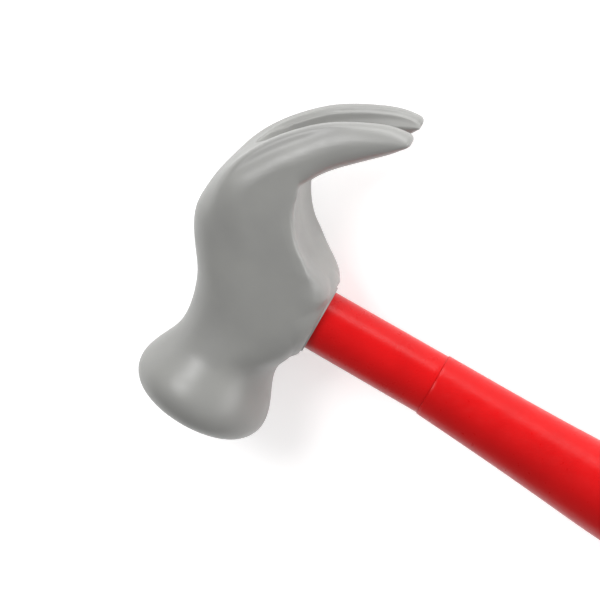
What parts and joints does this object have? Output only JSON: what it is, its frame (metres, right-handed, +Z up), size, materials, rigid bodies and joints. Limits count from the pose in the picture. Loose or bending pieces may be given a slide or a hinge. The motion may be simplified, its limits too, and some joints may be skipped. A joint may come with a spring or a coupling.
{
  "type": "toy claw hammer",
  "caption": "Play claw hammer: hollow soft grey head with a round striking bell and two slotted claws, screwed on a red tube neck with a thicker swelling grip.",
  "frame": {"origin": "centre of the bounding box's underside, with the hammer lying on its side", "axes": "+X along the handle from head to butt, -Y out of the striking face, +Y toward the claws, +Z up across the head, whose two halves mirror each other in the handle axis's level plane"},
  "size_m": [0.2218, 0.136, 0.05],
  "materials": {
    "head_plastic": "satin grey soft PVC, rotocast",
    "neck_plastic": "semi-gloss red moulded plastic",
    "grip_plastic": "semi-gloss red moulded plastic, faintly mottled",
    "liner_plastic": "natural white moulded plastic, hidden",
    "steel": "zinc-plated steel, hidden"
  },
  "bodies": {
    "root": {"head_shell": "head_plastic", "socket_liner": "liner_plastic", "neck_tube": "neck_plastic", "screw_washer": "steel", "neck_screw": "steel", "grip_sleeve": "grip_plastic", "core_cradle": "liner_plastic", "butt_plug": "grip_plastic"}
  },
  "joints": []
}
